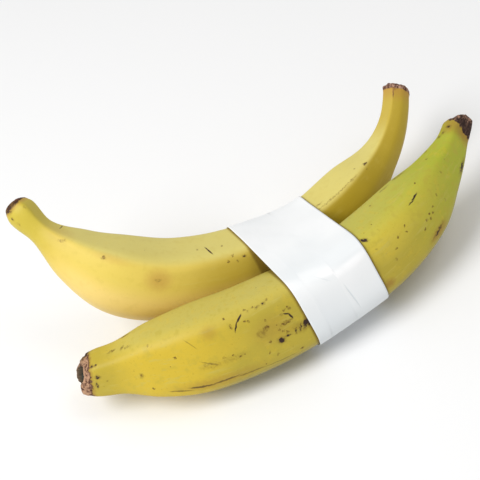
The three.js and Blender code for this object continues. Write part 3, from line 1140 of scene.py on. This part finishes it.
# The stage.
def area_light(name, place, size, power):
    """A round soft light that is aimed at the pair."""
    light = bpy.data.lights.new(name, "AREA")
    light.shape = "DISK"
    light.size = size
    light.energy = power
    lamp = bpy.data.objects.new(name, light)
    lamp.location = place
    lamp.rotation_euler = (Vector(LIGHTS_AIM) - Vector(place)).to_track_quat("-Z", "Y").to_euler()
    bpy.context.collection.objects.link(lamp)


def camera_ways(look):
    """The camera's right, up and back directions."""
    back = Vector((
        math.sin(look.azimuth) * math.cos(look.elevation),
        -math.cos(look.azimuth) * math.cos(look.elevation),
        math.sin(look.elevation),
    ))
    right = Vector((math.cos(look.azimuth), math.sin(look.azimuth), 0))
    up = back.cross(right)
    turned = right * math.cos(look.roll) - up * math.sin(look.roll)
    return turned, back.cross(turned), back


def pair_shift():
    """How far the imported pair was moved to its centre, in metres."""
    _, _, move = settled_fruit(FRONT["node"])
    return Vector((band_shift(), move[1], 0)) * MM


def build_camera(look):
    right, up, back = camera_ways(look)
    data = bpy.data.cameras.new("view")
    data.lens = look.scale * look.distance / MM / IMAGE_SIZE * CAMERA_FILM
    data.sensor_width = CAMERA_FILM
    data.clip_end = CAMERA_REACH
    camera = bpy.data.objects.new("view", data)
    camera.matrix_world = Matrix((right, up, back)).transposed().to_4x4()
    camera.location = Vector(look.target) + pair_shift() + back * look.distance
    bpy.context.collection.objects.link(camera)
    bpy.context.scene.camera = camera


def build_stage(look):
    mesh = bpy.data.meshes.new("floor")
    signs = ((-1, -1), (1, -1), (1, 1), (-1, 1))
    corners = [(x * FLOOR_HALF, y * FLOOR_HALF, -FLOOR_DROP) for x, y in signs]
    mesh.from_pydata(corners, [], [(0, 1, 2, 3)])
    floor = bpy.data.objects.new("floor", mesh)
    bpy.context.collection.objects.link(floor)
    paint = Paint("floor_paper")
    mesh.materials.append(paint.finish(Base_Color=(*look.floor_colour, 1), Roughness=0.9))
    world = bpy.data.worlds.new("even_light")
    world.use_nodes = True
    background = world.node_tree.nodes["Background"]
    background.inputs["Color"].default_value = (1, 1, 1, 1)
    background.inputs["Strength"].default_value = look.sky_strength
    bpy.context.scene.world = world
    area_light("key", KEY_PLACE, KEY_SIZE, look.key_power)
    area_light("top", TOP_PLACE, TOP_SIZE, look.top_power)
    bpy.context.scene.view_settings.view_transform = "Standard"


class PLANTAIN_OT_fruits(bpy.types.Operator):
    """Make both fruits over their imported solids"""

    bl_idname = "plantain.fruits"
    bl_label = "Make the fruits"

    def execute(self, context):
        settings = context.scene.plantain
        build_fruit(FRONT, "front_fruit", settings.front, FRONT_MARKS)
        build_fruit(REAR, "rear_fruit", settings.rear, REAR_MARKS)
        return {"FINISHED"}


class PLANTAIN_OT_band(bpy.types.Operator):
    """Wrap the plain band round both fruits"""

    bl_idname = "plantain.band"
    bl_label = "Wrap the band"

    def execute(self, context):
        build_band(context.scene.plantain.band)
        return {"FINISHED"}


class PLANTAIN_OT_stage(bpy.types.Operator):
    """Set up the floor, the lights and the camera"""

    bl_idname = "plantain.stage"
    bl_label = "Set up the stage"

    def execute(self, context):
        look = context.scene.plantain.stage
        build_stage(look)
        build_camera(look)
        return {"FINISHED"}


class PLANTAIN_PT_panel(bpy.types.Panel):
    """Lists the steps that make the pair"""

    bl_label = "Banded plantains"
    bl_idname = "PLANTAIN_PT_panel"
    bl_space_type = "VIEW_3D"
    bl_region_type = "UI"
    bl_category = "Plantains"

    def draw(self, context):
        for operator in OPERATORS:
            self.layout.operator(operator.bl_idname)


SETTINGS = (FrontPeelSettings, RearPeelSettings, BandSettings, StageSettings, PlantainSettings)
OPERATORS = (PLANTAIN_OT_fruits, PLANTAIN_OT_band, PLANTAIN_OT_stage)


def register():
    for kind in (*SETTINGS, *OPERATORS, PLANTAIN_PT_panel):
        bpy.utils.register_class(kind)
    bpy.types.Scene.plantain = PointerProperty(type=PlantainSettings)


def unregister():
    del bpy.types.Scene.plantain
    for kind in reversed((*SETTINGS, *OPERATORS, PLANTAIN_PT_panel)):
        bpy.utils.unregister_class(kind)


def main():
    register()
    bpy.ops.plantain.fruits()
    bpy.ops.plantain.band()
    bpy.ops.plantain.stage()
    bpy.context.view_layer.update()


if __name__ == "__main__":
    main()
